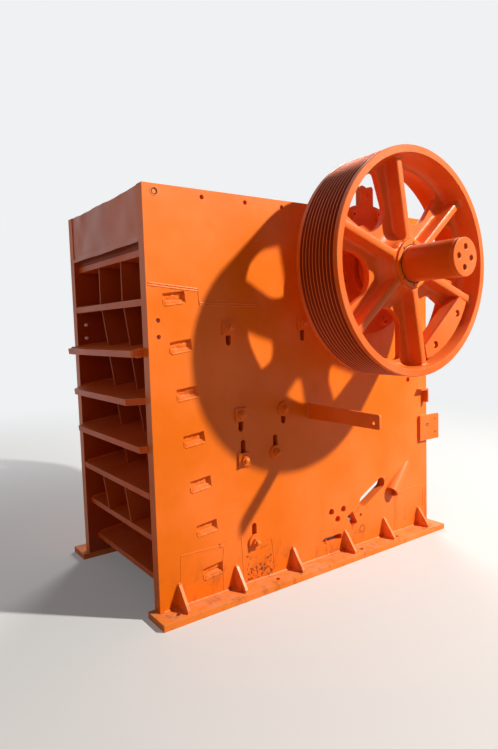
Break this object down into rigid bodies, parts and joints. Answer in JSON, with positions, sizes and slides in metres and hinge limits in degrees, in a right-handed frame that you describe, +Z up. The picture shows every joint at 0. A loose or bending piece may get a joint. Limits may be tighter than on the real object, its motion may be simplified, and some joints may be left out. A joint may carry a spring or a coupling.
{
  "type": "jaw crusher",
  "caption": "Single-toggle jaw crusher with a welded plate frame, ribbed front, and an eccentric shaft carrying a grooved and a plain spoked flywheel.",
  "frame": {"origin": "in the foot plane, midway between the outer foot bolt holes", "axes": "+X from the ribbed front to the rear, -Y towards the drive end of the shaft, +Z up"},
  "size_m": [2.6623, 2.794, 2.763],
  "materials": {
    "orange_paint": "glossy orange enamel, chipped at the foot",
    "inner_paint": "thin orange paint, dull inside the frame",
    "wheel_paint": "orange enamel over cast iron",
    "jaw_steel": "worn, lightly rusted manganese steel",
    "spring_steel": "dull steel with flecks of paint",
    "shaft_paint": "thin orange paint over machined steel"
  },
  "bodies": {
    "frame": {"side_plate_near": "orange_paint", "side_plate_far": "orange_paint", "foot_flange_near": "orange_paint", "foot_flange_far": "orange_paint", "front_panel": "orange_paint", "front_ledge": "orange_paint", "front_plate": "inner_paint", "front_rib_1": "orange_paint", "front_rib_2": "orange_paint", "front_rib_3": "orange_paint", "front_rib_4": "orange_paint", "front_rib_5": "orange_paint", "front_rib_6": "orange_paint", "front_rib_7": "orange_paint", "front_gussets_near": "inner_paint", "front_gussets_far": "inner_paint", "fixed_jaw_die": "jaw_steel", "cheek_plates_near": "jaw_steel", "cheek_plates_far": "jaw_steel", "cheek_clamps_near": "orange_paint", "cheek_clamps_far": "orange_paint", "swing_jaw": "inner_paint", "swing_jaw_die": "jaw_steel", "die_wedge": "jaw_steel", "toggle_plate": "inner_paint", "toggle_block": "inner_paint", "rear_beam": "inner_paint", "rear_tie": "inner_paint", "tension_rods": "inner_paint", "tension_springs": "spring_steel", "bearing_housing_near": "orange_paint", "bearing_housing_far": "orange_paint", "bearing_cover_near": "orange_paint", "bearing_cover_far": "orange_paint", "guard_arm": "orange_paint", "rear_brackets": "orange_paint", "pipe_stub": "orange_paint"},
    "rotor": {"eccentric_shaft": "shaft_paint", "grooved_flywheel": "wheel_paint", "plain_flywheel": "wheel_paint", "counterweight_near": "wheel_paint", "counterweight_far": "wheel_paint", "shaft_end_cap": "wheel_paint", "hub_ring_near": "wheel_paint", "hub_ring_far": "wheel_paint"}
  },
  "joints": [
    {"name": "shaft_turn", "type": "hinge", "parent": "frame", "child": "rotor", "pos_m": [0.546, 0, 2.05], "axis": [0, 1, 0], "continuous": true}
  ]
}
